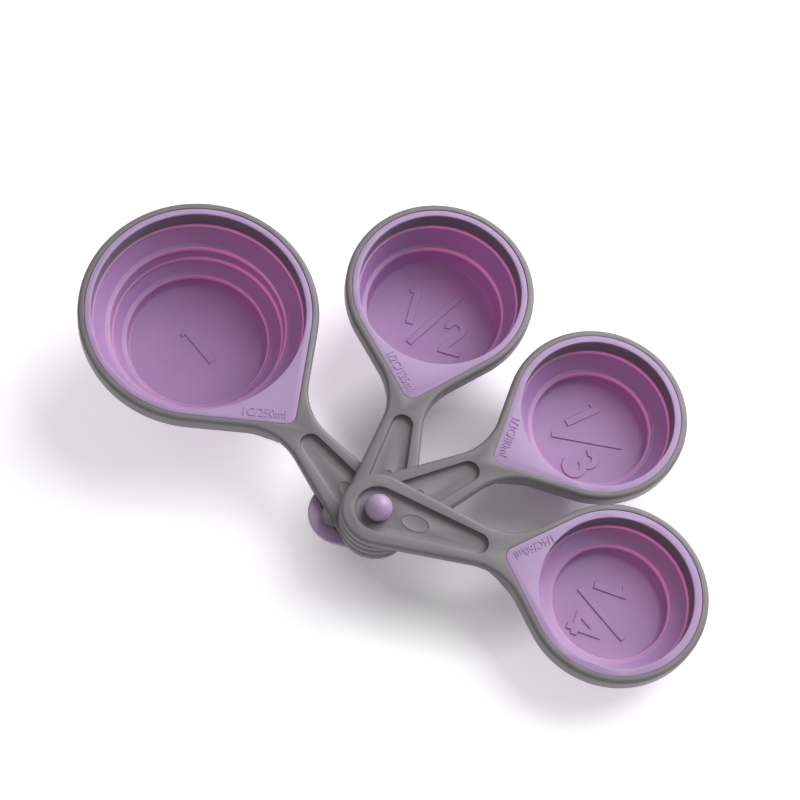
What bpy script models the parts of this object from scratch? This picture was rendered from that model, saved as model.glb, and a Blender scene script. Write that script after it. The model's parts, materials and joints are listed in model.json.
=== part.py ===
"""Collapsible measuring cup set: four cups fanned out on one pivot pin. Metres, +Z up.

Every cup is drawn lying flat with the pin at its origin and the cup's centre at +X, its rim's
top face at z = 0. The whole fan then leans until it stands on the feet of its bowls.
"""

from math import asin, cos, pi, radians, sin

import bmesh
import bpy
from mathutils import Matrix, Vector

MM = 0.001
GAP = 0.3 * MM  # between neighbouring pieces
ROUND = 32  # sides of a turned piece

# The stack on the pin
PITCH = 5.4 * MM  # from one handle to the next
HANDLE_THICKNESS = 5.0 * MM
POST_RADIUS = 3.5 * MM
BALL_RADIUS = 6.1 * MM
BALL_RISE = 0.9 * MM  # the ball's centre above the top handle
TAB_THICKNESS = 3.0 * MM
TAB_REACH = 15.7 * MM
TAB_RADIUS = 15.0 * MM
TAB_TURN = 158.6

# The handle
PIN_END_RADIUS = 16.8 * MM
HANDLE_TAPER = radians(9.0)
NECK_FILLET = 28.0 * MM
POCKET_DEPTH = 2.5 * MM
POCKET_LENGTH = 46.3 * MM
POCKET_WIDE, POCKET_NARROW = 10.5 * MM, 5.0 * MM

# The ring that holds the bowl
RING_HEIGHT = 9.6 * MM
RING_END = 60.0 * MM  # from the pin, where the ring's full height starts
EDGE_ROUND = 1.8 * MM
BAND = 3.2 * MM  # of frame outside the rim inlay
TIP_FROM_PIN = 58.0 * MM  # the inlay's sharp corner, before rounding
TIP_ROUND = 5.0 * MM
INLAY_DROP, INLAY_THICKNESS = 0.2 * MM, 1.3 * MM
GROOVE_INSIDE, GROOVE_WIDTH, GROOVE_DEPTH = 1.0 * MM, 2.0 * MM, 3.0 * MM

# The silicone
COLLAR_THICKNESS = 1.5 * MM
COLLAR_LIP = 0.6 * MM  # that the collar stands inside the mouth
WEB_WALL, STIFF_WALL = 1.5 * MM, 2.0 * MM
FLOOR = 2.0 * MM
FOOT_CHAMFER = 1.0 * MM

FRAME_GREY = (0.222, 0.206, 0.216, 1.0)
INLAY_LILAC = (0.479, 0.314, 0.578, 1.0)
SILICONE_PURPLE = (0.451, 0.235, 0.503, 1.0)
KEEPER_LILAC = (0.539, 0.376, 0.665, 1.0)

# name, angle of the fan, level in the stack, pin to cup centre, inlay outer radius, mouth radius,
# then the stiff bands of the bowl from the top down: (top radius, top depth, low radius, low depth).
# The last band is the base's wall, which ends at the floor.
CUPS = (
    ("one", 127.6, 0, 129.6, 52.6, 49.6, ((42.2, 19.7, 40.2, 28.9), (34.5, 34.8, 32.8, 42.0))),
    ("half", 73.7, 1, 117.9, 41.3, 38.3, ((33.5, 24.0, 31.0, 35.85),)),
    ("third", 25.6, 2, 114.0, 38.6, 35.7, ((28.5, 19.0, 27.5, 26.5),)),
    ("quarter", -20.0, 3, 111.2, 38.3, 34.8, ((27.3, 15.5, 25.8, 22.0),)),
)
FEET_THAT_TOUCH = (0, 2, 3)
VIEW_TURN = 2.5  # about +Z, so that the fan opens away from the front


def clear_scene():
    for thing in list(bpy.data.objects):
        bpy.data.objects.remove(thing, do_unlink=True)


def new_collection(name):
    collection = bpy.data.collections.new(name)
    bpy.context.scene.collection.children.link(collection)
    return collection


def material(name, color, roughness):
    made = bpy.data.materials.new(name)
    made.use_nodes = True
    shader = made.node_tree.nodes["Principled BSDF"]
    shader.inputs["Base Color"].default_value = color
    shader.inputs["Roughness"].default_value = roughness
    shader.inputs["Metallic"].default_value = 0.0
    return made


# Outlines -----------------------------------------------------------------------------------


def arc(x, radius, start, end, steps, y=0.0):
    """Points on a circle about (x, y), from one angle to another."""
    turns = (start + (end - start) * i / steps for i in range(steps + 1))
    return [(x + radius * cos(a), y + radius * sin(a)) for a in turns]


def circle(x, radius, steps):
    return arc(x, radius, 0.0, 2 * pi * (steps - 1) / steps, steps - 1)


def two_circles(x0, r0, x1, r1, steps):
    """The outline of a band stretched round two circles on the X axis."""
    lean = asin((r1 - r0) / (x1 - x0))
    big = arc(x1, r1, -pi / 2 - lean, pi / 2 + lean, steps)
    small = arc(x0, r0, pi / 2 + lean, 3 * pi / 2 - lean, max(6, steps // 3))
    return big + small


def tip_lean(cup):
    """Half the angle of the ring's corner that points at the pin."""
    reach, radius = cup[3] * MM, cup[4] * MM
    return asin(radius / (reach - TIP_FROM_PIN))


def inlay_outline(cup, grow):
    reach, radius = cup[3] * MM, cup[4] * MM
    corner = TIP_FROM_PIN + TIP_ROUND / sin(tip_lean(cup))
    return two_circles(corner, TIP_ROUND + grow, reach, radius + grow, 24)


def frame_outline(cup):
    """Round the pin, down the tapering handle, out through a wide fillet and round the ring."""
    reach, radius, lean = cup[3] * MM, cup[4] * MM + BAND, tip_lean(cup)
    side = Vector((sin(HANDLE_TAPER), cos(HANDLE_TAPER)))
    edge = Vector((-sin(lean), cos(lean)))
    lines = Matrix((side, edge))
    offsets = Vector((PIN_END_RADIUS, radius - reach * sin(lean))) + Vector((NECK_FILLET,) * 2)
    centre = lines.inverted() @ offsets
    half = arc(0.0, PIN_END_RADIUS, pi, pi / 2 - HANDLE_TAPER, 8)
    half += arc(centre.x, NECK_FILLET, 3 * pi / 2 - HANDLE_TAPER, 3 * pi / 2 + lean, 5, centre.y)
    half += arc(reach, radius, pi / 2 + lean, 0.0, 13)
    return half + [(x, -y) for x, y in reversed(half[1:-1])]


# Solids -------------------------------------------------------------------------------------


def add_object(name, mesh, collection):
    made = bpy.data.objects.new(name, mesh)
    collection.objects.link(made)
    return made


def plate(name, outline, top, thickness, collection, edge=0.0):
    """An outline extruded downwards from top, its edges rounded by edge."""
    curve = bpy.data.curves.new(name, "CURVE")
    curve.dimensions = "2D"
    curve.fill_mode = "BOTH"
    curve.extrude = thickness / 2 - edge
    curve.bevel_depth = edge
    curve.bevel_resolution = 0
    curve.offset = -edge
    spline = curve.splines.new("POLY")
    spline.points.add(len(outline) - 1)
    for point, (x, y) in zip(spline.points, outline):
        point.co = (x, y, 0.0, 1.0)
    spline.use_cyclic_u = True
    drawn = bpy.data.objects.new(name + "_outline", curve)
    bpy.context.scene.collection.objects.link(drawn)
    seen = drawn.evaluated_get(bpy.context.evaluated_depsgraph_get())
    mesh = bpy.data.meshes.new_from_object(seen)
    bpy.data.objects.remove(drawn, do_unlink=True)
    weld(mesh)
    mesh.transform(Matrix.Translation((0, 0, top - thickness / 2)))
    return add_object(name, mesh, collection)


def weld(mesh):
    shape = bmesh.new()
    shape.from_mesh(mesh)
    bmesh.ops.remove_doubles(shape, verts=shape.verts, dist=1e-6)
    bmesh.ops.recalc_face_normals(shape, faces=shape.faces)
    shape.to_mesh(mesh)
    shape.free()


def turned(name, profile, closed, centre_x, collection, steps=ROUND):
    """A profile of (radius, z) points turned about the cup's axis."""
    mesh = bpy.data.meshes.new(name)
    count = len(profile)
    edges = [(i, i + 1) for i in range(count - 1)]
    if closed:
        edges.append((count - 1, 0))
    mesh.from_pydata([(r, 0.0, z) for r, z in profile], edges, [])
    made = add_object(name, mesh, collection)
    made.location.x = centre_x
    screw = made.modifiers.new("turn", "SCREW")
    screw.steps = screw.render_steps = steps
    screw.use_merge_vertices = True
    screw.merge_threshold = 1e-6
    screw.use_smooth_shade = True
    return made


def cut(target, cutter, operation="DIFFERENCE"):
    boolean = target.modifiers.new(cutter.name, "BOOLEAN")
    boolean.operation = operation
    boolean.solver = "MANIFOLD"  # the exact one leaves open edges where the pocket meets the handle
    boolean.object = cutter
    cutter.hide_render = True
    cutter.display_type = "WIRE"


def band(top_radius, top_depth, low_radius, low_depth, wall):
    """A closed profile: down the outer side, then up the inner one."""
    return [
        (top_radius + wall, -top_depth),
        (low_radius + wall, -low_depth),
        (low_radius, -low_depth),
        (top_radius, -top_depth),
    ]


# The pieces ---------------------------------------------------------------------------------


def make_frame(cup, parts, cutters):
    name, reach, mouth = cup[0], cup[3] * MM, cup[5] * MM
    frame = plate("frame_" + name, frame_outline(cup), 0.0, RING_HEIGHT, parts, EDGE_ROUND)
    under = plate(
        "under_" + name,
        [(-0.03, -0.03), (RING_END, -0.03), (RING_END, 0.03), (-0.03, 0.03)],
        -HANDLE_THICKNESS,
        2 * RING_HEIGHT,
        cutters,
    )
    recess_depth = INLAY_DROP + INLAY_THICKNESS + GAP
    recess = plate("recess_" + name, inlay_outline(cup, GAP), recess_depth, 2 * recess_depth, cutters)
    pocket_outline = two_circles(-POCKET_LENGTH, POCKET_NARROW, 0.0, POCKET_WIDE, 14)
    pocket_outline = [(-x, y) for x, y in reversed(pocket_outline)]
    pocket = plate("pocket_" + name, pocket_outline, POCKET_DEPTH, 2 * POCKET_DEPTH, cutters)
    hole = plate("hole_" + name, circle(0.0, POST_RADIUS + GAP, ROUND // 2), 0.01, 0.03, cutters)
    opening = plate("mouth_" + name, circle(reach, mouth, ROUND), 0.01, 0.03, cutters)
    groove_low, groove_high = mouth + GROOVE_INSIDE, mouth + GROOVE_INSIDE + GROOVE_WIDTH
    groove = turned(
        "groove_" + name,
        [
            (groove_high, GROOVE_DEPTH - RING_HEIGHT),
            (groove_high, -2 * RING_HEIGHT),
            (groove_low, -2 * RING_HEIGHT),
            (groove_low, GROOVE_DEPTH - RING_HEIGHT),
        ],
        True,
        reach,
        cutters,
    )
    tools = [under, recess, pocket, hole, opening, groove]
    for tool in tools:
        cut(frame, tool)
    return frame, tools


def make_inlay(cup, parts, cutters):
    """The lilac rim plate, flush in the frame's recess."""
    name, reach, mouth = cup[0], cup[3] * MM, cup[5] * MM
    inlay = plate("inlay_" + name, inlay_outline(cup, 0.0), -INLAY_DROP, INLAY_THICKNESS, parts)
    opening = plate("inlay_mouth_" + name, circle(reach, mouth, ROUND), 0.01, 0.03, cutters)
    cut(inlay, opening)
    return inlay, [opening]


def make_collar(cup, parts):
    """The bowl's top edge: a bead in the frame's groove over a flat lip below the ring."""
    mouth = cup[5] * MM
    bead_out = mouth + GROOVE_INSIDE + GROOVE_WIDTH - GAP
    bead_in = mouth + GROOVE_INSIDE + GAP
    bead_top = GROOVE_DEPTH - RING_HEIGHT - GAP
    top = -RING_HEIGHT - GAP
    profile = [
        (bead_out, bead_top),
        (bead_out, top - COLLAR_THICKNESS),
        (mouth - COLLAR_LIP, top - COLLAR_THICKNESS),
        (mouth - COLLAR_LIP, top),
        (bead_in, top),
        (bead_in, bead_top),
    ]
    return turned("collar_" + cup[0], profile, True, cup[3] * MM, parts)


def make_webs(cup, parts):
    """The thin cones between the stiff bands, which turn inside out when the bowl is pushed flat."""
    above = (cup[5] * MM - COLLAR_LIP, RING_HEIGHT + GAP + COLLAR_THICKNESS)
    webs = []
    for index, (top_radius, top_depth, low_radius, low_depth) in enumerate(cup[6]):
        profile = band(above[0], above[1] + GAP, top_radius * MM, top_depth * MM - GAP, WEB_WALL)
        name = "web_%s_%d" % (cup[0], index + 1)
        webs.append(turned(name, profile, True, cup[3] * MM, parts))
        above = (low_radius * MM, low_depth * MM)
    return webs


def make_rings(cup, parts):
    """The stiff bands above the base."""
    rings = []
    for stiff in cup[6][:-1]:
        profile = band(*(value * MM for value in stiff), STIFF_WALL)
        rings.append(turned("ring_" + cup[0], profile, True, cup[3] * MM, parts))
    return rings


def foot_of(cup):
    """Radius and depth of the edge the bowl stands on."""
    low_radius, low_depth = cup[6][-1][2:]
    return low_radius * MM + STIFF_WALL - FOOT_CHAMFER, low_depth * MM + FLOOR


def make_base(cup, parts):
    top_radius, top_depth, low_radius, low_depth = (value * MM for value in cup[6][-1])
    foot_radius, foot_depth = foot_of(cup)
    profile = [
        (0.0, -low_depth),
        (low_radius, -low_depth),
        (top_radius, -top_depth),
        (top_radius + STIFF_WALL, -top_depth),
        (low_radius + STIFF_WALL, -foot_depth + FOOT_CHAMFER),
        (foot_radius, -foot_depth),
        (0.0, -foot_depth),
    ]
    return turned("base_" + cup[0], profile, False, cup[3] * MM, parts)


def make_keeper(parts, cutters):
    """A round tab under the stack, the post and the ball on top, all in one moulding."""
    top = (len(CUPS) - 1) * PITCH
    centre = top + BALL_RISE
    seat = top - POCKET_DEPTH + GAP
    seat_angle = asin((seat - centre) / BALL_RADIUS)
    tab_top = -HANDLE_THICKNESS - GAP
    swell = [(BALL_RADIUS * cos(a), centre + BALL_RADIUS * sin(a)) for a in sweep(pi / 2, seat_angle, 8)]
    swell[0] = (0.0, centre + BALL_RADIUS)
    profile = swell + [(POST_RADIUS, seat), (POST_RADIUS, tab_top - TAB_THICKNESS / 2)]
    profile.append((0.0, tab_top - TAB_THICKNESS / 2))
    outline = two_circles(0.0, 0.9 * TAB_RADIUS, TAB_REACH, TAB_RADIUS, 20)
    keeper = plate("keeper", outline, tab_top, TAB_THICKNESS, parts, 0.7 * MM)
    post = turned("post", profile, False, 0.0, cutters, 20)
    cut(keeper, post, "UNION")
    return keeper, [post]


def sweep(start, end, steps):
    return [start + (end - start) * i / steps for i in range(steps + 1)]


# The fan ------------------------------------------------------------------------------------


def standing_normal():
    """The table's normal, in the fan's own frame, when the feet of three bowls touch it."""
    centres, radii = [], []
    for cup in CUPS:
        turn, reach = radians(cup[1]), cup[3] * MM
        radius, depth = foot_of(cup)
        centres.append(Vector((reach * cos(turn), reach * sin(turn), cup[2] * PITCH - depth)))
        radii.append(radius)
    normal = Vector((0, 0, 1))
    for _ in range(40):
        down = Vector((-normal.x, -normal.y, 0))
        if down.length > 0:
            down.normalize()
        a, b, c = (centres[i] + radii[i] * down for i in FEET_THAT_TOUCH)
        normal = (b - a).cross(c - a).normalized()
        if normal.z < 0:
            normal.negate()
    return normal


def empty(name, collection, parent=None):
    made = add_object(name, None, collection)
    made.parent = parent
    return made


def stand_on_table(stand, parts):
    """Leans the fan onto its feet and puts the origin under the middle of its box."""
    normal = standing_normal()
    lean = normal.rotation_difference(Vector((0, 0, 1))).to_matrix().to_4x4()
    stand.matrix_world = Matrix.Rotation(radians(VIEW_TURN), 4, "Z") @ lean
    bpy.context.view_layer.update()
    graph = bpy.context.evaluated_depsgraph_get()
    corners = []
    for part in parts.objects:
        if part.type == "MESH":
            seen = part.evaluated_get(graph)
            corners += [seen.matrix_world @ vertex.co for vertex in seen.data.vertices]
    middle_x = (min(c.x for c in corners) + max(c.x for c in corners)) / 2
    middle_y = (min(c.y for c in corners) + max(c.y for c in corners)) / 2
    bottom = min(c.z for c in corners)
    stand.matrix_world = Matrix.Translation((-middle_x, -middle_y, -bottom)) @ stand.matrix_world


def finish(pieces, look, pivot):
    for piece in pieces:
        piece.data.materials.append(look)
        piece.parent = pivot
        if piece.name.startswith(("frame", "inlay", "keeper")):
            piece.data.shade_smooth()
            piece.data.set_sharp_from_angle(angle=radians(35))


def main():
    clear_scene()
    parts = new_collection("measuring_cup_set")
    cutters = new_collection("cutters")
    grey = material("frame_grey", FRAME_GREY, 0.5)
    lilac = material("inlay_lilac", INLAY_LILAC, 0.5)
    purple = material("silicone_purple", SILICONE_PURPLE, 0.55)
    violet = material("keeper_lilac", KEEPER_LILAC, 0.4)
    stand = empty("stand", parts)
    for cup in CUPS:
        pivot = empty("pivot_" + cup[0], parts, stand)
        pivot.location.z = cup[2] * PITCH
        pivot.rotation_euler.z = radians(cup[1])
        frame, frame_tools = make_frame(cup, parts, cutters)
        inlay, inlay_tools = make_inlay(cup, parts, cutters)
        finish([frame], grey, pivot)
        finish([inlay], lilac, pivot)
        silicone = [make_collar(cup, parts), make_base(cup, parts)]
        finish(silicone + make_webs(cup, parts) + make_rings(cup, parts), purple, pivot)
        for tool in frame_tools + inlay_tools:
            tool.parent = pivot
    pivot = empty("pivot_keeper", parts, stand)
    pivot.rotation_euler.z = radians(TAB_TURN)
    keeper, keeper_tools = make_keeper(parts, cutters)
    finish([keeper], violet, pivot)
    for tool in keeper_tools:
        tool.parent = pivot
    cutters.hide_render = True
    stand_on_table(stand, parts)


main()
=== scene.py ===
"""The finished look of a fanned-out set of collapsible measuring cups on a white table."""

import json
from math import asin, cos, pi, radians, sin, tan

import bpy
from mathutils import Matrix, Vector


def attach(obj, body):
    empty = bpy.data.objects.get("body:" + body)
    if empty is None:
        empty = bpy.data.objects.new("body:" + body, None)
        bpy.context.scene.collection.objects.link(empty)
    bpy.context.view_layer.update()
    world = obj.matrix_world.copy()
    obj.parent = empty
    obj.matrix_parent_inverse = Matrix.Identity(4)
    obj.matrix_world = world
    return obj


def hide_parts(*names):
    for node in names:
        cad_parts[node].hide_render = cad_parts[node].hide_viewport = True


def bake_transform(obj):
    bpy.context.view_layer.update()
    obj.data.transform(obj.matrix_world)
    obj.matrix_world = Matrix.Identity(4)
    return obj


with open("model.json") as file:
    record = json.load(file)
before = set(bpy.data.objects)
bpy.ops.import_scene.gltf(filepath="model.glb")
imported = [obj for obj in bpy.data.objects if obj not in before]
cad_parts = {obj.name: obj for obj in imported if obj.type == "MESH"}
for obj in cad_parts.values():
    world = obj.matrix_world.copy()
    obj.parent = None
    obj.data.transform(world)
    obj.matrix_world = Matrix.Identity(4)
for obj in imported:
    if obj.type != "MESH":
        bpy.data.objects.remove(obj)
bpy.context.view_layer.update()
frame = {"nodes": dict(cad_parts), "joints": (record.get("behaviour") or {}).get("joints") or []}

# Everything that is drawn before it is put in its place is in millimetres.
MM = 0.001
ROUND = 128  # sides of a turned piece
CLEAR, THROUGH = 5.0, 20.0  # how far a cutter stands above the rim, and how far it goes below it

# The handle, measured from the pin, and the ring that holds the bowl
PIN_END = 16.8
TAPER = radians(9.0)
NECK_FILLET = 28.0
HANDLE_THICKNESS, RING_HEIGHT = 5.0, 9.6
RING_START, RING_FULL = 57.0, 66.0
EDGE_ROUND = 1.8
BAND = 3.2
TIP_FROM_PIN, TIP_ROUND = 58.0, 5.0
POCKET_DEPTH, POCKET_END = 2.5, 46.3
POCKET_WIDE, POCKET_NARROW, POCKET_ROUND = 10.5, 5.0, 1.6
UNDERCUT_BACK, UNDERCUT_WIDTH, UNDERCUT_DEPTH = 40.0, 80.0, 20.0
HANDLE_ROUND, FRAME_SOFTENING = 1.5, 0.35
OVAL_X, OVAL_LONG, OVAL_WIDE, OVAL_LINE = 17.6, 6.4, 3.6, 0.22
LOBE_X, LOBE_Y, LOBE_RADIUS, LOBE_DROP = 14.0, 12.6, 5.2, 0.9

# The rim inlay, and the gap round it
INLAY_DROP, INLAY_THICKNESS, INLAY_GAP, INLAY_SOFTENING = 0.2, 1.3, 0.15, 0.4

# The bowl's wall, and the collar that holds it in the ring
WALL = 2.0
COLLAR_TOP, COLLAR_LOW, COLLAR_LIP, COLLAR_SEAT = 9.7, 11.5, 1.1, 2.4

# Beads of the bowl's inner face: out from the radius, up from the depth, rounding. The first is
# where a fold web meets the stiff band below it, the second is at the foot of a band.
TOP_BEAD = ((1.3, 1.3, 0.8), (-1.2, 0.6, 1.1), (-1.2, -1.7, 1.0), (-0.1, -2.6, 0.6))
LOW_BEAD = ((0.3, 2.1, 0.4), (-0.7, 1.4, 0.4), (-0.7, 0.3, 0.3), (0.0, 0.0, 0.0))
FLOOR_ROUND = 1.6

# The keeper: post, ball and tab
PITCH, PLAY = 5.4, 0.3
POST, POST_FOOT, BALL, BALL_RISE = 3.5, 7.0, 6.1, 0.9
TAB_REACH, TAB_RADIUS, TAB_THICKNESS, TAB_ROUND, TAB_WAIST = 15.7, 15.0, 3.0, 1.1, 0.9
SEAM_ANGLE, SEAM_TURN, SEAM_DIP, SEAM_LINE = radians(75), radians(-10), radians(39), 0.12

ONE_TURN, TAB_TURN = radians(127.6), radians(158.6)  # the largest cup and the tab, in the fan

# The camera in the fan's own frame, in metres, with the fan turned by CAMERA_TURN; lens in mm
CAMERA_TURN, CAMERA_PLACE = radians(126.9), (-0.1017, -0.3266, 0.9230)
CAMERA_FORWARD, CAMERA_RIGHT = (0.11465, 0.38257, -0.91679), (0.99340, -0.04166, 0.10684)
CAMERA_LENS = 98.7255

# Inlay radius, mouth radius, then the stiff bands of the bowl: top radius, top depth, low radius
# and low depth.
CUPS = {
    "one": (52.6, 49.6, ((42.2, 19.7, 40.2, 28.9), (34.5, 34.8, 32.8, 42.0))),
    "half": (41.3, 38.3, ((33.5, 24.0, 31.0, 35.85),)),
    "third": (38.6, 35.7, ((28.5, 19.0, 27.5, 26.5),)),
    "quarter": (38.3, 34.8, ((27.3, 15.5, 25.8, 22.0),)),
}

# The raised numerals on the floors, read with the handle at the foot: figure, height, across and
# up. A slash has its length and its lean.
NUMERALS = {
    "one": (("1", 22.0, 1.0, 0.1),),
    "half": (("1", 19.4, -10.0, 4.8), ("/", 36.0, 1.3, 0.8, 60.0), ("2", 19.2, 12.2, -5.4)),
    "third": (("1", 17.6, -9.1, 2.1), ("/", 33.6, 2.5, -2.0, 54.0), ("3", 18.4, 11.3, -10.4)),
    "quarter": (("1", 15.8, -7.9, -0.8), ("/", 30.2, 4.3, -1.8, 57.5), ("4", 16.0, 12.0, -7.1)),
}
NUMERAL_RISE, NUMERAL_ROOT, NUMERAL_BEVEL, SLASH_STROKE = 0.6, 0.4, 0.22, 0.09

# The faint marks on the inlays: text, length and height
MARKS = {
    "one": ("1C/250ml", 19.5, 4.2),
    "half": ("1/2C/125ml", 21.0, 4.0),
    "third": ("1/3C/80ml", 19.5, 3.9),
    "quarter": ("1/4C/60ml", 19.0, 3.8),
}
MARK_FROM_TIP, MARK_FROM_EDGE, MARK_RISE = 4.4, 2.3, 0.30

# Painted light on the table, as emission, in metres: little under the middle of the fan, more further
# out
PAINTED_LIGHT_OFFSET, PAINTED_LIGHT_START, PAINTED_LIGHT_FADE = (0.036, 0.02), 0.050, 0.030
PAINTED_LIGHT_STOPS = ((0.0, (0.04, 0.04, 0.04)), (1.0, (0.44, 0.43, 0.44)))
PAPER_STOPS = ((0.3, (0.90, 0.90, 0.90)), (0.7, (0.92, 0.92, 0.92)))

# The direction that the main light comes from. Each silicone has a dark tone and a light tone,
# mottled at random, and a painted glow: pink emission on the bowl's side towards the key light.
KEY_FROM = (1.0, 0.75, 1.0)
SILICONE = {
    "wall": ((0.385, 0.215, 0.450), (0.415, 0.240, 0.485), (0.050, 0.008, 0.030)),
    # The beads: pinker tones and a stronger painted glow, for light that shines through them.
    "bead": ((0.480, 0.235, 0.420), (0.510, 0.260, 0.450), (0.270, 0.065, 0.170)),
}

# Where the cups lie ------------------------------------------------------------------------

pin_joint = next(j for j in frame["joints"] if j["name"] == "keeper_turn")
PIN, UP = Vector(pin_joint["pos_m"]), Vector(pin_joint["axis"])


def corners(node):
    return [vertex.co for vertex in frame["nodes"][node].data.vertices]


def cup_place(name):
    """A matrix that puts a cup drawn in millimetres, with the pin at its origin, the cup towards
    +X and its rim at z = 0, where the frame has it; and how far the cup's centre is from the pin."""
    base = corners("base_" + name)
    along, across = Vector(), UP.orthogonal().normalized()
    for way in (across, UP.cross(across)):
        reaches = [(point - PIN).dot(way) for point in base]
        along += way * (min(reaches) + max(reaches)) / 2
    level = max((point - PIN).dot(UP) for point in corners("frame_" + name))
    x = along.normalized()
    place = Matrix((x, UP.cross(x), UP)).transposed().to_4x4()
    place.translation = PIN + UP * level
    return place @ Matrix.Scale(MM, 4), along.length / MM


def fan_place(turn):
    """As cup_place, for the pin's own pieces, turned anticlockwise from the largest cup."""
    place, _ = cup_place("one")
    return place @ Matrix.Rotation(turn, 4, "Z")


# Modelling by hand ---------------------------------------------------------------------------


def edit(select=True):
    bpy.ops.object.mode_set(mode="EDIT")
    bpy.ops.mesh.select_mode(type="VERT")
    bpy.ops.mesh.select_all(action="SELECT" if select else "DESELECT")


def leave():
    bpy.ops.object.mode_set(mode="OBJECT")


def only(thing):
    bpy.ops.object.select_all(action="DESELECT")
    thing.select_set(True)
    bpy.context.view_layer.objects.active = thing
    return thing


def started(name):
    made = only(bpy.context.active_object)
    made.name = made.data.name = name
    return made


def pick(thing, edges=None, faces=None):
    """Selects edges or faces by a test, then goes into edit mode."""
    mesh = thing.data
    bpy.ops.object.mode_set(mode="EDIT")
    bpy.ops.mesh.select_mode(type="EDGE" if edges else "FACE")
    bpy.ops.mesh.select_all(action="DESELECT")
    bpy.ops.object.mode_set(mode="OBJECT")
    if edges:
        for edge in mesh.edges:
            edge.select = edges(*(mesh.vertices[i].co for i in edge.vertices))
    else:
        for face in mesh.polygons:
            face.select = faces(face)
    bpy.ops.object.mode_set(mode="EDIT")


def turned(name, profile, centre=0.0, sides=ROUND):
    """A lathe: a circle drawn out ring by ring through (radius, z) points. A radius of 0 closes it."""
    bpy.ops.object.select_all(action="DESELECT")
    rings = [point for point in profile if point[0] > 0]
    bpy.ops.mesh.primitive_circle_add(
        vertices=sides, radius=rings[0][0], location=(0, 0, 0), fill_type="NOTHING"
    )
    made = started(name)
    edit()
    bpy.ops.transform.translate(value=(centre, 0, rings[0][1]))
    if profile[0][0] == 0:
        bpy.ops.mesh.edge_face_add()
    for (r0, z0), (r1, z1) in zip(rings, rings[1:]):
        bpy.ops.mesh.extrude_edges_move(TRANSFORM_OT_translate={"value": (0, 0, z1 - z0)})
        bpy.ops.transform.resize(value=(r1 / r0, r1 / r0, 1), center_override=(centre, 0, z1))
    if profile[-1][0] == 0:
        bpy.ops.mesh.edge_face_add()
    bpy.ops.mesh.select_all(action="SELECT")
    bpy.ops.mesh.normals_make_consistent(inside=False)
    leave()
    return made


def bore(name, radius, centre=0.0, sides=ROUND):
    """A round cutter that goes right through a frame."""
    profile = [(0, CLEAR), (radius, CLEAR), (radius, -THROUGH), (0, -THROUGH)]
    return turned(name, profile, centre, sides)


def rounded(points, steps=5):
    """A profile with its corners rounded: each point is (radius, z, rounding)."""
    done = []
    for index, (x, z, radius) in enumerate(points):
        if radius == 0 or index in (0, len(points) - 1):
            done.append((x, z))
            continue
        here = Vector((x, z))
        before = (Vector(points[index - 1][:2]) - here).normalized()
        after = (Vector(points[index + 1][:2]) - here).normalized()
        half = before.angle(after) / 2
        centre = here + (before + after).normalized() * radius / sin(half)
        start = here + before * radius / tan(half) - centre
        end = here + after * radius / tan(half) - centre
        turn = start.angle_signed(end)
        for step in range(steps + 1):
            arm = start.copy()
            arm.rotate(Matrix.Rotation(-turn * step / steps, 2))
            done.append(tuple(centre + arm))
    return done


def dot(x, y):
    """One vertex in edit mode, to draw an outline from."""
    bpy.ops.object.select_all(action="DESELECT")
    bpy.ops.mesh.primitive_circle_add(vertices=3, radius=1, location=(0, 0, 0))
    edit()
    bpy.ops.mesh.merge(type="CENTER")
    bpy.ops.transform.translate(value=(x, y, 0))


def line_to(here, there):
    bpy.ops.mesh.extrude_vertices_move(
        TRANSFORM_OT_translate={"value": (there[0] - here[0], there[1] - here[1], 0)}
    )


def arc_about(centre, turn, steps):
    bpy.ops.mesh.spin(steps=steps, angle=-turn, center=(*centre, 0), axis=(0, 0, 1))


def around(centre, radius, angle):
    return (centre[0] + radius * cos(angle), centre[1] + radius * sin(angle))


def outline(name, path):
    """Draws a closed path and fills it. Its stops are corners (x, y) and arcs (centre, radius,
    start, end, steps), with straight lines between them."""
    first = path[0] if len(path[0]) == 2 else around(*path[0][:3])
    here = first
    dot(*here)
    for stop in path:
        there = stop if len(stop) == 2 else around(*stop[:3])
        if (Vector(there) - Vector(here)).length > 1e-4:
            line_to(here, there)
            here = there
        if len(stop) == 5:
            centre, radius, start, end, steps = stop
            arc_about(centre, end - start, steps)
            here = around(centre, radius, end)
    if (Vector(first) - Vector(here)).length > 1e-4:
        line_to(here, first)
    made = bpy.context.active_object
    made.name = made.data.name = name
    bpy.ops.mesh.select_all(action="SELECT")
    bpy.ops.mesh.remove_doubles(threshold=1e-3)
    bpy.ops.mesh.edge_face_add()
    leave()
    return only(made)


def thicken(made, top, thickness):
    """Gives a filled outline its thickness, from top downwards."""
    edit()
    bpy.ops.transform.translate(value=(0, 0, top))
    bpy.ops.mesh.extrude_region_move(TRANSFORM_OT_translate={"value": (0, 0, -thickness)})
    bpy.ops.mesh.select_all(action="SELECT")
    bpy.ops.mesh.normals_make_consistent(inside=False)
    leave()
    return made


def round_rim(made, z, radius, segments):
    """Bevels the outline's edge at one height."""
    pick(made, edges=lambda a, b: abs(a.z - z) < 1e-3 and abs(b.z - z) < 1e-3)
    bpy.ops.mesh.bevel(offset=radius, segments=segments, profile=0.5, affect="EDGES")
    leave()


def boolean(target, cutter, operation="DIFFERENCE"):
    only(target)
    change = target.modifiers.new(cutter.name, "BOOLEAN")
    change.operation = operation
    change.object = cutter
    change.solver = "MANIFOLD"
    bpy.ops.object.modifier_apply(modifier=change.name)
    bpy.data.objects.remove(cutter, do_unlink=True)


def soften(made, width, segments=3, angle=40):
    """Small round edges where a cut left sharp ones."""
    only(made)
    bevel = made.modifiers.new("soften", "BEVEL")
    bevel.width = width
    bevel.segments = segments
    bevel.limit_method = "ANGLE"
    bevel.angle_limit = radians(angle)
    bevel.use_clamp_overlap = True
    bpy.ops.object.modifier_apply(modifier=bevel.name)


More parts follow.
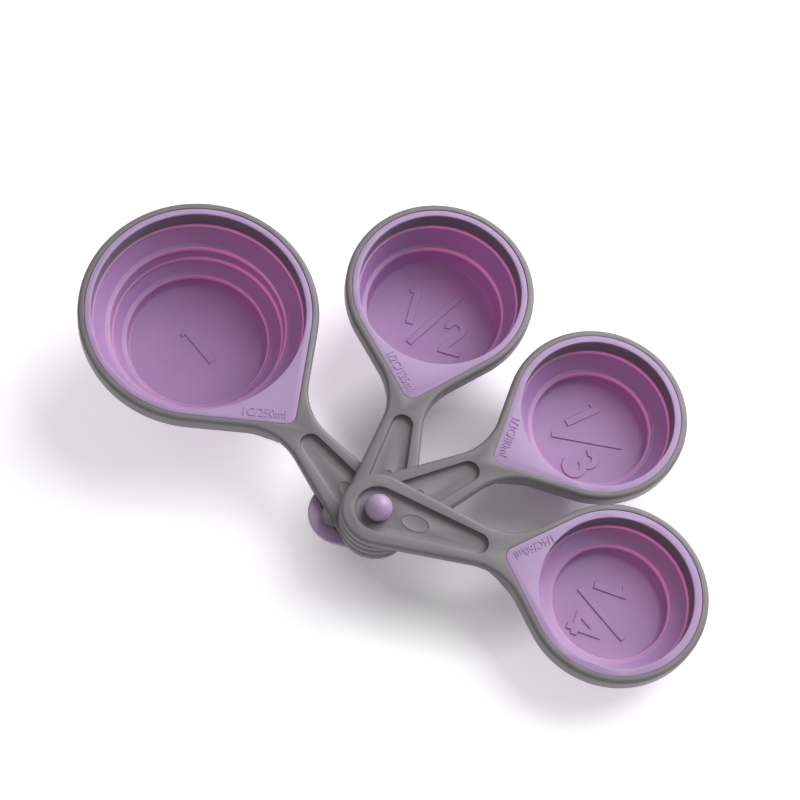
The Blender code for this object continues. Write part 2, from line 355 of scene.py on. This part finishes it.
def put(made, place, look, smooth=35, second=None):
    """Moves a finished piece from the drawing board to its place on the table."""
    only(made)
    made.matrix_world = place @ made.matrix_world
    bpy.ops.object.transform_apply(location=True, rotation=True, scale=True)
    if second:
        made.data.materials[0], made.data.materials[1] = look, second
    else:
        made.data.materials.clear()
        made.data.materials.append(look)
    bpy.ops.object.shade_smooth_by_angle(angle=radians(smooth))
    return made


# Outlines of the frame -----------------------------------------------------------------------


def tip_lean(cup, reach):
    return asin(CUPS[cup][0] / (reach - TIP_FROM_PIN))


def teardrop(name, cup, reach, grow):
    """The inlay's outline, or one that stands outside it by grow."""
    lean, radius = tip_lean(cup, reach), CUPS[cup][0] + grow
    corner = (TIP_FROM_PIN + TIP_ROUND / sin(lean), 0)
    return outline(
        name,
        [
            ((reach, 0), radius, -pi / 2 - lean, pi / 2 + lean, 96),
            (corner, TIP_ROUND + grow, pi / 2 + lean, 3 * pi / 2 - lean, 16),
        ],
    )


def slot(name, start, r0, end, r1, steps):
    """A slot along X that tapers from r0 at start to r1 at end."""
    lean = asin((r0 - r1) / (end - start))
    return outline(
        name,
        [
            ((start, 0), r0, pi / 2 - lean, 3 * pi / 2 + lean, steps),
            ((end, 0), r1, -pi / 2 + lean, pi / 2 - lean, steps),
        ],
    )


def frame_outline(name, cup, reach):
    lean, radius = tip_lean(cup, reach), CUPS[cup][0] + BAND
    side, edge = Vector((sin(TAPER), cos(TAPER))), Vector((-sin(lean), cos(lean)))
    offsets = Vector((PIN_END + NECK_FILLET, radius - reach * sin(lean) + NECK_FILLET))
    fillet = Matrix((side, edge)).inverted() @ offsets
    left, right = (fillet.x, fillet.y), (fillet.x, -fillet.y)
    return outline(
        name,
        [
            ((0, 0), PIN_END, pi, pi / 2 - TAPER, 24),
            (left, NECK_FILLET, 3 * pi / 2 - TAPER, 3 * pi / 2 + lean, 16),
            ((reach, 0), radius, pi / 2 + lean, -pi / 2 - lean, 96),
            (right, NECK_FILLET, pi / 2 - lean, pi / 2 + TAPER, 16),
            ((0, 0), PIN_END, -pi / 2 + TAPER, -pi, 24),
        ],
    )


# Finishes ------------------------------------------------------------------------------------


class Socket:
    """A shader value that can be used in sums. Plain numbers mix with it on either side."""

    def __init__(self, tree, link):
        self.tree, self.link = tree, link

    def math(self, operation, other, swap=False):
        node = self.tree.nodes.new("ShaderNodeMath")
        node.operation = operation
        for slot_index, value in enumerate((other, self) if swap else (self, other)):
            if isinstance(value, Socket):
                self.tree.links.new(value.link, node.inputs[slot_index])
            else:
                node.inputs[slot_index].default_value = value
        return Socket(self.tree, node.outputs[0])

    def __add__(self, other):
        return self.math("ADD", other)

    __radd__ = __add__

    def __mul__(self, other):
        return self.math("MULTIPLY", other)

    __rmul__ = __mul__

    def __sub__(self, other):
        return self.math("SUBTRACT", other)

    def __rsub__(self, other):
        return self.math("SUBTRACT", other, swap=True)


class Finish:
    """A material with a Principled BSDF; node() adds any other node."""

    def __init__(self, name, **constants):
        self.material = bpy.data.materials.new(name)
        self.material.use_nodes = True
        self.tree = self.material.node_tree
        self.shader = self.tree.nodes["Principled BSDF"]
        for socket, value in constants.items():
            self.shader.inputs[socket.replace("_", " ")].default_value = value
        self.place = self.node("ShaderNodeTexCoord", out="Object")

    def node(self, kind, settings=None, out=0, **inputs):
        made = self.tree.nodes.new(kind)
        for key, value in (settings or {}).items():
            if key == "stops":
                set_stops(made.color_ramp, value)
            else:
                setattr(made, key, value)
        for key, value in inputs.items():
            socket = made.inputs[1 if key == "Second" else key.replace("_", " ")]
            if isinstance(value, Socket):
                self.tree.links.new(value.link, socket)
            else:
                socket.default_value = value
        return Socket(self.tree, made.outputs[out])

    def noise(self, scale, detail=3.0, roughness=0.5):
        return self.node(
            "ShaderNodeTexNoise", Vector=self.place, Scale=scale, Detail=detail, Roughness=roughness
        )

    def ramp(self, value, *stops):
        return self.node("ShaderNodeValToRGB", {"stops": stops}, Fac=value)

    def feed(self, socket, value):
        self.tree.links.new(value.link, self.shader.inputs[socket])

    def bump(self, height, strength, distance):
        relief = self.node("ShaderNodeBump", Height=height, Strength=strength, Distance=distance)
        self.feed("Normal", relief)


def set_stops(ramp, stops):
    while len(ramp.elements) < len(stops):
        ramp.elements.new(1.0)
    for element, (position, color) in zip(ramp.elements, stops):
        element.position = position
        element.color = (*color, 1.0)


def moulded(finish, dark, light, rough, grain):
    """Moulded plastic or silicone: faint mottling, a fine eroded grain and uneven gloss."""
    cloudy = finish.noise(35.0, 4.0)
    finish.feed("Base Color", finish.ramp(cloudy, (0.3, dark), (0.7, light)))
    finish.feed("Roughness", finish.noise(260.0, 2.0) * 0.12 + (rough - 0.06))
    finish.bump(finish.noise(2600.0, 2.0), grain, 0.00012)
    return finish.material


def make_finishes():
    """The plastics by name: dark tone, light tone, roughness and depth of grain."""
    return {
        name: moulded(Finish(name), *tones)
        for name, *tones in (
            ("frame_grey", (0.175, 0.157, 0.170), (0.200, 0.180, 0.193), 0.42, 0.25),
            ("inlay_lilac", (0.395, 0.262, 0.465), (0.420, 0.285, 0.495), 0.50, 0.20),
            ("keeper_lilac", (0.430, 0.290, 0.490), (0.450, 0.310, 0.510), 0.36, 0.12),
        )
    }


def silicone(name, dark, light, painted_glow, place, reach, radius):
    """Silicone that lets some light through, with a painted glow: a pink emission on the side towards
    the key light paints the light behind it.
    """
    finish = Finish(
        name,
        Subsurface_Weight=0.4,
        Subsurface_Radius=(1.0, 0.25, 0.5),
        Subsurface_Scale=0.004,
        Emission_Strength=1.0,
    )
    # Painted glow: the emission grows towards the key light's side of the bowl's axis.
    toward = Vector((KEY_FROM[0], KEY_FROM[1], 0)).normalized() / (radius * MM)
    axis = on_axis(place, reach, 0)
    arm = finish.node(
        "ShaderNodeVectorMath", {"operation": "SUBTRACT"}, Vector=finish.place, Second=axis
    )
    side = finish.node(
        "ShaderNodeVectorMath", {"operation": "DOT_PRODUCT"}, 1, Vector=arm, Second=toward
    )
    finish.feed("Emission Color", finish.ramp(side, (0.0, (0.0, 0.0, 0.0)), (0.85, painted_glow)))
    return moulded(finish, dark, light, 0.45, 0.20)


# The pieces ----------------------------------------------------------------------------------


def make_undercut():
    """What is cut away below the handle, up to the slope where the ring starts."""
    bpy.ops.object.select_all(action="DESELECT")
    bpy.ops.mesh.primitive_cube_add(size=1, location=(0, 0, 0))
    under = started("under")
    edit()
    bpy.ops.transform.resize(value=(RING_START + UNDERCUT_BACK, UNDERCUT_WIDTH, UNDERCUT_DEPTH))
    middle = -HANDLE_THICKNESS - UNDERCUT_DEPTH / 2
    bpy.ops.transform.translate(value=((RING_START - UNDERCUT_BACK) / 2, 0, middle))
    slope = (RING_FULL - RING_START) / (RING_HEIGHT - HANDLE_THICKNESS)
    pick(under, edges=lambda a, b: min(a.x, b.x) > RING_START - 1 and max(a.z, b.z) < middle)
    bpy.ops.transform.translate(value=(slope * UNDERCUT_DEPTH, 0, 0))
    leave()
    return under


def make_frame(cup, place, reach, look):
    """The handle with its pocket and post hole, and the ring with the inlay's recess."""
    made = thicken(frame_outline("frame_shell_" + cup, cup, reach), 0, RING_HEIGHT)
    round_rim(made, 0, EDGE_ROUND, 6)
    round_rim(made, -RING_HEIGHT, EDGE_ROUND, 5)
    if cup == "one":
        boolean(made, make_lobe(), "UNION")
    boolean(made, make_undercut())
    round_rim_under(made)
    pocket = slot("pocket", 0, POCKET_WIDE, POCKET_END, POCKET_NARROW, 28)
    thicken(pocket, CLEAR, CLEAR + POCKET_DEPTH)
    round_rim(pocket, -POCKET_DEPTH, POCKET_ROUND, 5)
    boolean(made, pocket)
    boolean(made, make_oval(), "UNION")
    recess = teardrop("recess", cup, reach, INLAY_GAP)
    boolean(made, thicken(recess, CLEAR, CLEAR + INLAY_DROP + INLAY_THICKNESS))
    boolean(made, bore("mouth", CUPS[cup][1], reach))
    boolean(made, bore("hole", POST + PLAY, sides=32))
    soften(made, FRAME_SOFTENING)
    put(made, place, look)
    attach(made, "cup_" + cup)
    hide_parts("frame_" + cup)


def make_lobe():
    """The small round lug on the side of the lowest handle."""
    lobe = outline("lobe", [((LOBE_X, LOBE_Y), LOBE_RADIUS, 0, 2 * pi, 40)])
    thicken(lobe, -LOBE_DROP, HANDLE_THICKNESS - LOBE_DROP - PLAY)
    round_rim(lobe, -LOBE_DROP, LOBE_DROP, 4)
    return lobe


def make_oval():
    """The fine oval line that stands up from the pocket's floor."""
    bpy.ops.object.select_all(action="DESELECT")
    bpy.ops.mesh.primitive_circle_add(vertices=64, radius=1, location=(0, 0, 0))
    oval = started("oval")
    edit()
    bpy.ops.transform.resize(value=(OVAL_LONG, OVAL_WIDE, 1))
    bpy.ops.transform.translate(value=(OVAL_X, 0, -POCKET_DEPTH))
    leave()
    bpy.ops.object.convert(target="CURVE")
    oval.data.bevel_depth = OVAL_LINE
    oval.data.bevel_resolution = 2
    bpy.ops.object.convert(target="MESH")
    return bpy.context.active_object


def round_rim_under(made):
    """Rounds the handle's lower edges, but not the step up to the ring."""
    limit = RING_START - 1.0
    pick(
        made,
        edges=lambda a, b: abs(a.z + HANDLE_THICKNESS) < 1e-3
        and abs(b.z + HANDLE_THICKNESS) < 1e-3
        and min(a.x, b.x) < limit,
    )
    bpy.ops.mesh.bevel(offset=HANDLE_ROUND, segments=4, profile=0.5, affect="EDGES")
    leave()


def make_inlay(cup, place, reach, look):
    """The teardrop plate in the frame's recess."""
    made = thicken(teardrop("rim_inlay_" + cup, cup, reach, 0.0), -INLAY_DROP, INLAY_THICKNESS)
    boolean(made, bore("mouth", CUPS[cup][1], reach))
    soften(made, INLAY_SOFTENING, 3)
    put(made, place, look)
    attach(made, "cup_" + cup)
    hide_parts("inlay_" + cup)


def make_mark(cup, place, reach, look):
    """The faint capacity mark along the inlay's left edge, read towards the handle."""
    text, length, height = MARKS[cup]
    bpy.ops.object.select_all(action="DESELECT")
    bpy.ops.object.text_add(location=(0, 0, 0))
    made = started("mark_" + cup)
    made.data.body = text
    made.data.extrude = MARK_RISE
    made.data.resolution_u = 4
    bpy.ops.object.convert(target="MESH")
    made = bpy.context.active_object
    letters = [vertex.co for vertex in made.data.vertices]
    start, end = min(p.x for p in letters), max(p.x for p in letters)
    foot, top = min(p.y for p in letters), max(p.y for p in letters)
    lean = tip_lean(cup, reach)
    edit()
    bpy.ops.mesh.remove_doubles(threshold=1e-5)
    bpy.ops.transform.translate(value=(-end, -foot, 0))
    bpy.ops.transform.resize(
        value=(length / (end - start), height / (top - foot), 1), center_override=(0, 0, 0)
    )
    leave()
    stand = Matrix.Translation((TIP_FROM_PIN, 0, -INLAY_DROP)) @ Matrix.Rotation(pi + lean, 4, "Z")
    stand = stand @ Matrix.Translation((-MARK_FROM_TIP, MARK_FROM_EDGE, 0))
    put(made, place @ stand, look)
    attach(made, "cup_" + cup)


# Each figure is h high, with a stroke of w, and has its middle at the origin.


def figure_one(h, w):
    return [
        (w / 2, -h / 2),
        (w / 2, h / 2),
        (-0.35 * w, h / 2),
        (-0.75 * w, h / 2 - 0.3 * w),
        (-1.1 * w, h / 2 - 0.42 * w),
        (-1.0 * w, h / 2 - 0.95 * w),
        (-w / 2, h / 2 - 0.75 * w),
        (-w / 2, -h / 2),
    ]


def figure_two(h, w):
    bowl = 0.285 * h
    centre, low = (0, h / 2 - bowl), -h / 2
    start, end = radians(190), radians(-38)
    return [
        (centre, bowl, start, end, 24),
        (-bowl + 1.35 * w, low + w),
        (bowl, low + w),
        (bowl, low),
        (-bowl, low),
        (-bowl, low + 0.85 * w),
        (centre, bowl - w, end, start, 18),
    ]


def figure_three(h, w):
    upper, lower = 0.27 * h, 0.32 * h
    high, low = h / 2 - upper, -h / 2 + lower
    notch = (upper ** 2 - lower ** 2 + low ** 2 - high ** 2) / (2 * (low - high))
    turn_high, turn_low = asin((notch - high) / upper), asin((notch - low) / lower)
    inner_high, inner_low = upper - w, lower - w
    return [
        ((0, high), upper, radians(160), turn_high, 24),
        ((0, low), lower, turn_low, radians(-165), 28),
        ((0, low), inner_low, radians(-165), pi / 2, 20),
        (-0.35 * w, low + inner_low),
        (-0.35 * w, high - inner_high),
        ((0, high), inner_high, -pi / 2, radians(160), 16),
    ]


def figure_four(h, w):
    left, right, low, cross = -0.36 * h, 0.36 * h, -h / 2, -0.34 * h
    bar = right - 0.6 * w
    return [
        (bar, low),
        (bar, cross),
        (right, cross),
        (right, cross + w),
        (bar, cross + w),
        (bar, h / 2),
        (bar - 1.05 * w, h / 2),
        (left, cross + 0.9 * w),
        (left, cross),
        (bar - w, cross),
        (bar - w, low),
    ]


def figure_four_hole(h, w):
    """The triangle inside the four, from the corner of its bars."""
    corner = (0.36 * h - 1.6 * w, w - 0.34 * h)
    return [corner, (corner[0], corner[1] + 0.34 * h), (corner[0] - 0.21 * h, corner[1])]


# How each figure is drawn, and its stroke
FIGURES = {
    "1": (figure_one, 3.7),
    "2": (figure_two, 3.4),
    "3": (figure_three, 3.3),
    "4": (figure_four, 3.0),
}


def figure(kind, height, across, up, lean=0.0):
    """One raised figure at its place on the floor, drawn as it is read."""
    if kind == "/":
        x, y = height / 2, SLASH_STROKE * height / 2
        made = outline("slash", [(-x, -y), (x, -y), (x, y), (-x, y)])
    else:
        draw, stroke = FIGURES[kind]
        made = outline("figure", draw(height, stroke))
    thicken(made, NUMERAL_RISE, NUMERAL_RISE + NUMERAL_ROOT)
    if kind == "4":
        hole = outline("hole", figure_four_hole(height, stroke))
        boolean(made, thicken(hole, CLEAR, 2 * CLEAR))
    soften(made, NUMERAL_BEVEL, 1)
    made.matrix_world = Matrix.Translation((across, up, 0)) @ Matrix.Rotation(radians(lean), 4, "Z")
    bpy.ops.object.transform_apply(location=True, rotation=True, scale=True)
    return made


def make_numerals(cup, reach):
    """The capacity's figures, standing up from the bowl's floor."""
    drawn = [figure(*row) for row in NUMERALS[cup]]
    only(drawn[0])
    for other in drawn[1:]:
        other.select_set(True)
    if len(drawn) > 1:
        bpy.ops.object.join()
    made = started("numerals_" + cup)
    floor = CUPS[cup][2][-1][3]
    made.matrix_world = Matrix.Translation((reach, 0, -floor)) @ Matrix.Rotation(-pi / 2, 4, "Z")
    bpy.ops.object.transform_apply(location=True, rotation=True, scale=True)
    return made


def shell(name, profile, reach):
    """A silicone wall: its inner face turned on the lathe, thickened outwards."""
    made = turned(name, rounded(profile), reach)
    edit()
    bpy.ops.mesh.normals_make_consistent(inside=False)
    leave()
    only(made)
    wall = made.modifiers.new("wall", "SOLIDIFY")
    wall.thickness = WALL
    wall.offset = 1.0
    wall.use_even_offset = True
    bpy.ops.object.modifier_apply(modifier=wall.name)
    return made


def on_axis(place, reach, depth):
    return place @ Vector((reach, 0, -depth))


def edge_bead(shape, radius, depth):
    """One of the beads above, at its place on the bowl's profile."""
    return [(radius + out, -depth + up, rounding) for out, up, rounding in shape]


def color_beads(made, spans):
    """Gives the faces between these depths the second material, the beads' one with pinker tones and a
    stronger painted glow.
    """
    made.data.materials.clear()
    made.data.materials.append(None)
    made.data.materials.append(None)
    pick(made, faces=lambda face: any(start < -face.center.z < end for start, end in spans))
    made.active_material_index = 1
    bpy.ops.object.material_slot_assign()
    leave()


def make_bowl(cup, place, reach):
    """The folding bowl: a shell from each stiff band to the next."""
    _, mouth, bands = CUPS[cup]
    wall = silicone("silicone_" + cup, *SILICONE["wall"], place, reach, mouth)
    # The beads' silicone is pinker and glows more: painted light that shines through the thin beads.
    bead = silicone("silicone_bead_" + cup, *SILICONE["bead"], place, reach, mouth)
    lip = mouth - COLLAR_LIP
    above = [
        (mouth + COLLAR_SEAT, -COLLAR_TOP, 0),
        (lip, -COLLAR_TOP, 0.6),
        (lip, -COLLAR_LOW + 0.3, 0.3),
        (lip + 0.5, -COLLAR_LOW - 0.1, 0.2),
    ]
    body, names = "cup_" + cup, ["collar_" + cup]
    above_depth, beads = COLLAR_LOW, [(COLLAR_TOP, COLLAR_LOW + 0.1)]
    for index, (r0, d0, r1, d1) in enumerate(bands):
        last = index == len(bands) - 1
        profile = above + edge_bead(TOP_BEAD, r0, d0)
        if last:
            profile += [(r1, -d1, FLOOR_ROUND), (0, -d1, 0)]
        else:
            profile += edge_bead(LOW_BEAD, r1, d1)
            beads.append((d1 - 2.0, d1))
        beads.append((d0 - 1.0, d0 + 2.4))
        made = shell("bowl_%s_%d" % (cup, index + 1), profile, reach)
        if last:
            boolean(made, make_numerals(cup, reach), "UNION")
        color_beads(made, beads)
        put(made, place, wall, 40, bead)
        below = ("base_" if last else "ring_") + cup
        start, end = on_axis(place, reach, above_depth), on_axis(place, reach, d0 - 0.8)
        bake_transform(made)
        names += ["web_%s_%d" % (cup, index + 1), below]
        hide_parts(*names)
        above, body, names, above_depth, beads = [(r1, -d1, 0)], below, [], d1 + 0.2, []


def make_seam(centre):
    """The mould's parting line round the ball, low on the side away from the tab."""
    bpy.ops.object.select_all(action="DESELECT")
    bpy.ops.mesh.primitive_torus_add(
        major_radius=BALL * sin(SEAM_ANGLE),
        minor_radius=SEAM_LINE,
        major_segments=64,
        minor_segments=8,
        location=(0, 0, 0),
    )
    seam = started("seam")
    edit()
    bpy.ops.transform.translate(value=(0, 0, BALL * cos(SEAM_ANGLE)))
    leave()
    seam.matrix_world = (
        Matrix.Translation(centre)
        @ Matrix.Rotation(SEAM_TURN, 4, "Z")
        @ Matrix.Rotation(pi / 2 + SEAM_DIP, 4, "Y")
    )
    bpy.ops.object.transform_apply(location=True, rotation=True, scale=True)
    return seam


def make_keeper(place, look):
    """The tab under the stack, the post through the handles and the ball on top."""
    top = (len(CUPS) - 1) * PITCH
    seat = top - POCKET_DEPTH + PLAY
    centre = top + BALL_RISE
    low = asin((seat - centre) / BALL)
    turns = [pi / 2 + (low - pi / 2) * i / 24 for i in range(1, 25)]
    swell = [(BALL * cos(a), centre + BALL * sin(a)) for a in turns]
    profile = [(0, centre + BALL)] + swell + [(POST, seat), (POST, -POST_FOOT), (0, -POST_FOOT)]
    post = turned("post", profile, 0, 64)
    tab = slot("keeper_tab", -TAB_REACH, TAB_RADIUS, 0, TAB_WAIST * TAB_RADIUS, 40)
    tab_top = -HANDLE_THICKNESS - PLAY
    made = thicken(tab, tab_top, TAB_THICKNESS)
    round_rim(made, tab_top, TAB_ROUND, 4)
    round_rim(made, tab_top - TAB_THICKNESS, TAB_ROUND, 4)
    boolean(made, post, "UNION")
    boolean(made, make_seam((0, 0, centre)), "UNION")
    put(made, place, look)
    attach(made, "keeper")
    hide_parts("keeper")


# The studio ----------------------------------------------------------------------------------


def painted_light_centre():
    """The place on the table under the middle of the fan, where the painted light is least."""
    right = fan_place(-ONE_TURN).to_3x3() * (1 / MM) @ Vector((1, 0, 0))
    near = UP.cross(right)
    middle = PIN + right * PAINTED_LIGHT_OFFSET[0] + near * PAINTED_LIGHT_OFFSET[1]
    return middle.x, middle.y, 0.0


def make_floor():
    bpy.ops.object.select_all(action="DESELECT")
    bpy.ops.mesh.primitive_plane_add(size=12, location=(0, 0, 0))
    floor = started("floor")
    paper = Finish("floor_white", Roughness=0.35, Specular_IOR_Level=0.3, Emission_Strength=1.0)
    away = paper.node(
        "ShaderNodeVectorMath", {"operation": "DISTANCE"}, 1, Vector=paper.place, Second=painted_light_centre()
    )
    # Painted light: the floor's emission grows away from the middle of the fan, so shadows further out
    # fade.
    paper.feed("Emission Color", paper.ramp((away - PAINTED_LIGHT_START) * (1 / PAINTED_LIGHT_FADE), *PAINTED_LIGHT_STOPS))
    paper.feed("Base Color", paper.ramp(paper.noise(3.0), *PAPER_STOPS))
    floor.data.materials.append(paper.material)


def make_light(name, direction, distance, size, power):
    """A square light that looks at the fan."""
    target = Vector((0, 0, 0.03))
    bpy.ops.object.light_add(type="AREA", location=target + Vector(direction).normalized() * distance)
    light = bpy.context.active_object
    light.name = light.data.name = name
    light.data.size = size
    light.data.energy = power
    light.rotation_euler = (target - light.location).to_track_quat("-Z", "Y").to_euler()


def make_camera():
    fan = fan_place(-CAMERA_TURN).to_3x3() * (1 / MM)
    bpy.ops.object.camera_add(location=PIN + fan @ Vector(CAMERA_PLACE))
    camera = bpy.context.active_object
    forward = (fan @ Vector(CAMERA_FORWARD)).normalized()
    right = fan @ Vector(CAMERA_RIGHT)
    right = (right - forward * right.dot(forward)).normalized()
    turn = Matrix((right, (-forward).cross(right), -forward)).transposed()
    camera.rotation_euler = turn.to_euler()
    camera.data.sensor_width = 36.0
    camera.data.lens = CAMERA_LENS
    camera.data.clip_end = 30.0
    bpy.context.scene.camera = camera


def make_studio():
    make_floor()
    make_light("key", KEY_FROM, distance=1.6, size=1.5, power=35.0)
    make_light("fill", (-1.0, 0.2, 1.5), distance=1.8, size=1.2, power=1.0)
    world = bpy.data.worlds.new("studio")
    bpy.context.scene.world = world
    world.use_nodes = True
    sky = world.node_tree.nodes["Background"]
    sky.inputs["Color"].default_value = (1, 1, 1, 1)
    sky.inputs["Strength"].default_value = 0.30
    bpy.context.scene.view_settings.view_transform = "Standard"
    make_camera()


def main():
    looks = make_finishes()
    for cup in CUPS:
        place, reach = cup_place(cup)
        make_frame(cup, place, reach, looks["frame_grey"])
        make_inlay(cup, place, reach, looks["inlay_lilac"])
        make_mark(cup, place, reach, looks["inlay_lilac"])
        make_bowl(cup, place, reach)
    make_keeper(fan_place(TAB_TURN - ONE_TURN + pi), looks["keeper_lilac"])
    make_studio()


main()
